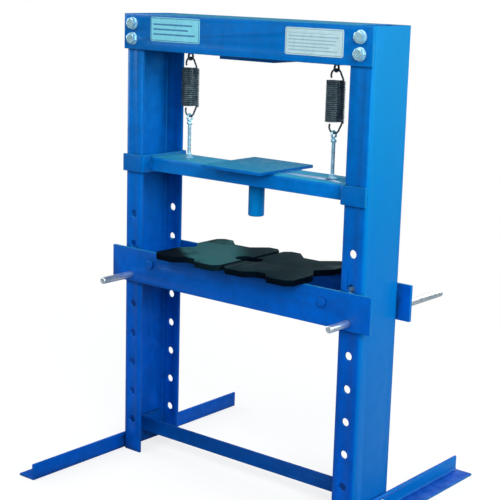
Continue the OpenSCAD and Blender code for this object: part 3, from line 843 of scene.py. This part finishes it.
def eye_bolt(node, eye_on_top):
    """A formed eye on a threaded shank."""
    lo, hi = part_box(node)
    x = (lo.x + hi.x) / 2
    reach = EYE_RADIUS + EYE_WIRE
    profile = [(radius * MM, z * MM) for radius, z in NECK]
    if eye_on_top:
        eye_z = hi.z - reach
        length = eye_z - EYE_RADIUS - lo.z
        thread = ROD_THREAD
        profile += [(radius * MM, z * MM) for radius, z in ROD_COLLAR]
    else:
        eye_z = lo.z + reach
        length = hi.z - eye_z - EYE_RADIUS
        flange = FLANGE_Z - (eye_z + EYE_RADIUS)
        thread = length - flange - 3.2 * MM
        profile += [(4.3 * MM, -2.0 * MM), (4.2 * MM, -(flange - 0.2 * MM)),
                    (6.7 * MM, -flange), (6.9 * MM, -(flange + 0.3 * MM)),
                    (6.9 * MM, -(flange + FLANGE)), (SHANK_RADIUS, -(flange + 2.02 * MM))]
    material = material_of(node)
    piece = crisp(mesh_object(node + "_bolt", *eye_ring(x, eye_z), material), 60)
    thread_start = -(length - thread)
    profile.append((SHANK_RADIUS, thread_start + 0.4 * MM))
    rings = circles(profile, SHANK_SIDES)
    rings += thread_rings(SHANK_RADIUS, SHANK_PITCH, thread_start, -length, SHANK_SIDES)
    verts, faces = skin(rings)
    if eye_on_top:
        verts = verts + np.array((x, 0, eye_z - EYE_RADIUS))
    else:
        verts = verts * np.array((1, -1, -1)) + np.array((x, 0, eye_z + EYE_RADIUS))
    shank = crisp(mesh_object(node + "_shank", verts, faces, material))
    join = piece.modifiers.new("join", "BOOLEAN")
    join.operation, join.solver, join.object = "UNION", "EXACT", shank
    depsgraph = bpy.context.evaluated_depsgraph_get()
    joined = bpy.data.meshes.new_from_object(piece.evaluated_get(depsgraph), depsgraph=depsgraph)
    piece.modifiers.clear()
    bpy.data.objects.remove(shank)
    piece.data = joined
    dress(piece, material)
    crisp(piece, 36)
    stand_for(piece, node)


eye_bolt("spring_rod_left", eye_on_top=True)
eye_bolt("spring_rod_right", eye_on_top=True)
eye_bolt("spring_eye_left", eye_on_top=False)
eye_bolt("spring_eye_right", eye_on_top=False)


# ------------------------------------------------------------------ labels

LABEL_CORNER = 4.5 * MM
LABEL_CORNER_STEPS = 8
LABEL_EDGE = 0.25 * MM      # chamfer round the front face


def rounded_label(node):
    lo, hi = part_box(node)
    r = LABEL_CORNER
    outline = []
    for x, z, start in ((hi.x - r, hi.z - r, 0), (lo.x + r, hi.z - r, 90),
                        (lo.x + r, lo.z + r, 180), (hi.x - r, lo.z + r, 270)):
        for i in range(LABEL_CORNER_STEPS + 1):
            a = math.radians(start + i * 90 / LABEL_CORNER_STEPS)
            outline.append((x + r * math.cos(a), z + r * math.sin(a)))
    mid_x, mid_z = (lo.x + hi.x) / 2, (lo.z + hi.z) / 2
    rings = []
    for inset, y in ((0.0, hi.y), (0.0, lo.y + LABEL_EDGE), (LABEL_EDGE, lo.y)):
        shrink_x, shrink_z = 1 - inset / (hi.x - mid_x), 1 - inset / (hi.z - mid_z)
        rings.append(np.array([(mid_x + (x - mid_x) * shrink_x, y, mid_z + (z - mid_z) * shrink_z)
                               for x, z in outline]))
    group(node + "_film", [skin(rings)], node, angle=30)


rounded_label("label_left")
rounded_label("label_right")


# ------------------------------------------------------------------ weld beads

RIPPLE_PITCH = 2.3 * MM
BEAD_STEP = 0.6 * MM
BEAD_TAPER = 2.5 * MM       # length over which an open bead's end swells to full size
BEAD_SIDES = 10


def bead(name, path, size, material, body, closed=False, seed=0.0):
    """A hand-laid fillet bead: a ripple every couple of millimetres and a slight wander."""
    corners = [Vector(point) for point in path]
    if closed:
        corners.append(corners[0])
    points, along, total = [], [], 0.0
    for a, b in zip(corners[:-1], corners[1:]):
        span = (b - a).length
        steps = max(2, int(span / BEAD_STEP))
        for i in range(steps):
            points.append(a.lerp(b, i / steps))
            along.append(total + span * i / steps)
        total += span
    points = np.array([tuple(point) for point in points + [corners[-1]]])
    along = np.array(along + [total])
    ripple = (1.0 + 0.10 * np.abs(np.sin(math.pi * (along / RIPPLE_PITCH)))
              + 0.05 * np.sin(along * 311.0 + seed) + 0.04 * np.sin(along * 97.0 + 2.1 * seed))
    ends = 1.0 if closed else np.minimum(1.0, np.minimum(along, total - along) / BEAD_TAPER)
    radii = size * 0.62 * ripple * (0.35 + 0.65 * np.sqrt(np.clip(ends, 0.0, 1.0)))
    if closed:
        points, radii = points[:-1], radii[:-1]
        up = np.array((0, 0, 1.0))
        tangent = np.roll(points, -1, 0) - np.roll(points, 1, 0)
        tangent /= np.linalg.norm(tangent, axis=1)[:, None]
        angles = np.arange(BEAD_SIDES) * 2 * math.pi / BEAD_SIDES
        solid = skin([np.array([point + radius * (math.cos(a) * out + math.sin(a) * up)
                                for a in angles])
                      for point, radius, out in zip(points, radii, np.cross(tangent, up))], True)
    else:
        solid = tube(points, radii, BEAD_SIDES)
    piece = crisp(mesh_object(name, *solid, material), 80)
    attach(piece, body)
    return piece


def beads(name, paths, size, material, body, seed):
    """Several open beads joined into one piece."""
    solids = []
    for i, path in enumerate(paths):
        single = bead(f"{name}_{i}", path, size, material, body, seed=seed + i)
        solids.append((np.array([vertex.co for vertex in single.data.vertices]),
                       [tuple(polygon.vertices) for polygon in single.data.polygons]))
        bpy.data.objects.remove(single)
    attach(mesh_object(name, *merged(solids), material), body)


RAM_BEAD = 3.2 * MM     # also used round the jack pad
cross_lo, cross_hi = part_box("ram_crosspiece")
cross_y, cross_top = cross_hi.y, cross_hi.z


def saddle_welds():
    lo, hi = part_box("jack_saddle")
    end_y, end_z = cross_y - 2 * MM, cross_top + 0.3 * MM
    face_y, face_z = cross_y - 0.2 * MM, cross_top - 0.6 * MM
    gap, reach = 4 * MM, 44 * MM    # where each run along the faces starts and stops
    paths = [[(x, -end_y, end_z), (x, end_y, end_z)] for x in (lo.x, hi.x)]
    for y in (-face_y, face_y):
        for start, end in ((lo.x + gap, lo.x + reach), (hi.x - reach, hi.x - gap)):
            paths.append([(start, y, face_z), (end, y, face_z)])
    beads("weld_saddle", paths, RAM_BEAD, ENAMEL_SHADED, "ram", seed=0.4)


def guide_welds(side, x):
    gap = 5 * MM
    paths = [[(x, -cross_y + gap, cross_top), (x, cross_y - gap, cross_top)]]
    paths += [[(x, y, cross_lo.z + 3 * MM), (x, y, cross_top - gap)] for y in (-cross_y, cross_y)]
    beads(f"weld_guide_{side}", paths, RAM_BEAD, ENAMEL_SHADED, "ram", seed=1.3)


def jack_pad_welds():
    lo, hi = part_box("jack_pad")
    paths = [[(x, lo.y + 6 * MM, hi.z), (x, hi.y - 6 * MM, hi.z)] for x in (lo.x, hi.x)]
    paths += [[(lo.x + 8 * MM, y, hi.z), (hi.x - 8 * MM, y, hi.z)] for y in (lo.y, hi.y)]
    beads("weld_jack_pad", paths, RAM_BEAD, ENAMEL_SHADED, "frame", seed=2.2)


def stub_weld():
    radius, z = 18.3 * MM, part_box("ram_stub")[1].z - 0.4 * MM
    path = [(radius * math.cos(a), radius * math.sin(a), z)
            for a in np.linspace(0, 2 * math.pi, 40, endpoint=False)]
    bead("weld_stub", path, 3.4 * MM, ENAMEL_SHADED, "ram", closed=True, seed=0.7)


def crossbar_welds():
    lo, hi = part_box("base_crossbar")
    ends = (-(hi.x - 5 * MM), hi.x - 5 * MM)
    upright_y, flat_y, flat_z = -20 * MM, 14 * MM, 41 * MM
    paths = [[(x, upright_y, lo.z + 33 * MM), (x, upright_y, hi.z - 3 * MM)] for x in ends]
    paths += [[(x, -flat_y, flat_z), (x, flat_y, flat_z)] for x in ends]
    beads("weld_crossbar", paths, 3.0 * MM, ENAMEL, "frame", seed=3.1)


def beam_welds():
    lo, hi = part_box("beam_bottom_plate")
    z = lo.z + 0.2 * MM
    paths = [[(lo.x + 14 * MM, y, z), (hi.x - 14 * MM, y, z)]
             for y in (lo.y - 0.4 * MM, hi.y + 0.4 * MM)]
    beads("weld_beam", paths, 1.9 * MM, ENAMEL_SHADED, "frame", seed=4.0)


saddle_welds()
guide_welds("left", cross_lo.x)
guide_welds("right", cross_hi.x)
jack_pad_welds()
stub_weld()
crossbar_welds()
beam_welds()

# any node not remade above keeps its own mesh and takes a material
for node, piece in NODES.items():
    if not piece.hide_render:
        dress(piece, material_of(node))


# ------------------------------------------------------------------ floor and world

def floor_material():
    """The camera sees mostly white glow, all white far out; other rays meet a grey floor."""
    seen_colour, bounce_colour = (0.96, 0.965, 0.97), (0.30, 0.32, 0.34)
    near_glow = 0.74
    m = Material("studio_floor")
    distance = m.node("ShaderNodeVectorMath", {0: m.place}, operation="LENGTH").outputs["Value"]
    seen = m.camera_ray()
    far = m.times(m.ramp(distance, over=(0.6, 2.2)), seen)
    m.set(Base_Color=m.mix(seen, bounce_colour, seen_colour), Roughness=0.8,
          Specular_IOR_Level=0.0)
    glow = m.node("ShaderNodeEmission", {"Color": (1, 1, 1, 1), "Strength": 1.0}).outputs[0]
    amount = m.times(seen, m.plus(near_glow, m.times(far, 0.26)))
    m.put(m.output.inputs[0], m.mix_shader(amount, m.shader.outputs[0], glow))
    return m.block


def floor():
    half, z = 200.0, -0.4 * MM
    material = floor_material()
    mesh = bpy.data.meshes.new("studio_floor")
    mesh.from_pydata([(-half, -half, z), (half, -half, z), (half, half, z), (-half, half, z)],
                     [], [(0, 1, 2, 3)])
    piece = bpy.data.objects.new("studio_floor", mesh)
    SCENE.collection.objects.link(piece)
    mesh.materials.append(material)


def studio_world():
    """White to the camera, and a soft room that brightens upwards to everything else."""
    room_strength = (0.26, 0.50)    # at the horizon and near the zenith
    world = bpy.data.worlds.new("studio")
    SCENE.world = world
    world.use_nodes = True
    g = Graph(world.node_tree)
    output = g.node("ShaderNodeOutputWorld")
    height = g.split(g.node("ShaderNodeTexCoord").outputs["Generated"])[Z]
    strength = g.ramp(height, over=(0.0, 0.9), to=room_strength, kind="LINEAR")
    white = g.node("ShaderNodeBackground", {"Color": (1, 1, 1, 1)}).outputs[0]
    room = g.node("ShaderNodeBackground", {"Color": (0.96, 0.99, 1.0, 1),
                                           "Strength": strength}).outputs[0]
    g.put(output.inputs[0], g.mix_shader(g.camera_ray(), room, white))


floor()
studio_world()


# ------------------------------------------------------------------ lights

def softbox(name, location, aim_z, size, power, colour):
    """A rectangular light, hidden from the camera, aimed at a height on the Z axis."""
    light = bpy.data.lights.new(name, "AREA")
    light.shape = "RECTANGLE"
    light.size, light.size_y = size
    light.energy = power
    light.color = colour
    lamp = bpy.data.objects.new(name, light)
    SCENE.collection.objects.link(lamp)
    lamp.location = location
    lamp.rotation_mode = "QUATERNION"
    aim = Vector((0, 0, aim_z)) - Vector(location)
    lamp.rotation_quaternion = aim.to_track_quat("-Z", "Y")
    lamp.visible_camera = False


GREENISH, BLUISH, CYAN = (0.93, 1.0, 0.99), (0.96, 0.99, 1.0), (0.97, 1.0, 1.0)
# name, location, height aimed at, size, power in watts, colour
SOFTBOXES = (
    ("key_right", (2.7, -1.9, 2.1), 0.65, (2.0, 2.0), 106, GREENISH),
    ("side_right", (2.9, 1.1, 1.8), 0.5, (1.5, 1.5), 26, GREENISH),
    ("fill_front", (-0.8, -2.4, 2.6), 0.75, (1.8, 1.6), 24, BLUISH),
    ("backdrop", (-2.4, 2.9, 1.5), 0.6, (3.0, 1.8), 4, CYAN),
    ("rear", (-0.1, 3.3, 1.6), 0.5, (2.0, 1.6), 46, BLUISH),
    ("side_left", (-3.1, -0.5, 1.6), 0.5, (1.6, 1.6), 34, BLUISH),
)
for box in SOFTBOXES:
    softbox(*box)


# ------------------------------------------------------------------ camera

AZIMUTH = math.radians(38.684)      # from the front (-Y) towards the right (+X)
ELEVATION = math.radians(12.0137)
ROLL = math.radians(1.6396)
DISTANCE = 2.87099
TARGET = Vector((-0.014384, 0.0, 0.535905))


def add_camera():
    back = Vector((math.sin(AZIMUTH) * math.cos(ELEVATION),
                   -math.cos(AZIMUTH) * math.cos(ELEVATION), math.sin(ELEVATION)))
    level_right = (-back).cross(Vector((0, 0, 1))).normalized()
    level_up = level_right.cross(-back)
    right = math.cos(ROLL) * level_right + math.sin(ROLL) * level_up
    up = -math.sin(ROLL) * level_right + math.cos(ROLL) * level_up
    lens = bpy.data.cameras.new("camera")
    lens.lens = 91.641096
    lens.sensor_width = 36.0
    lens.clip_start, lens.clip_end = 0.05, 500.0
    camera = bpy.data.objects.new("camera", lens)
    SCENE.collection.objects.link(camera)
    camera.matrix_world = Matrix((right, up, back)).transposed().to_4x4()
    camera.location = TARGET + back * DISTANCE
    SCENE.camera = camera


add_camera()
SCENE.view_settings.view_transform = "Standard"
SCENE.view_settings.look = "None"
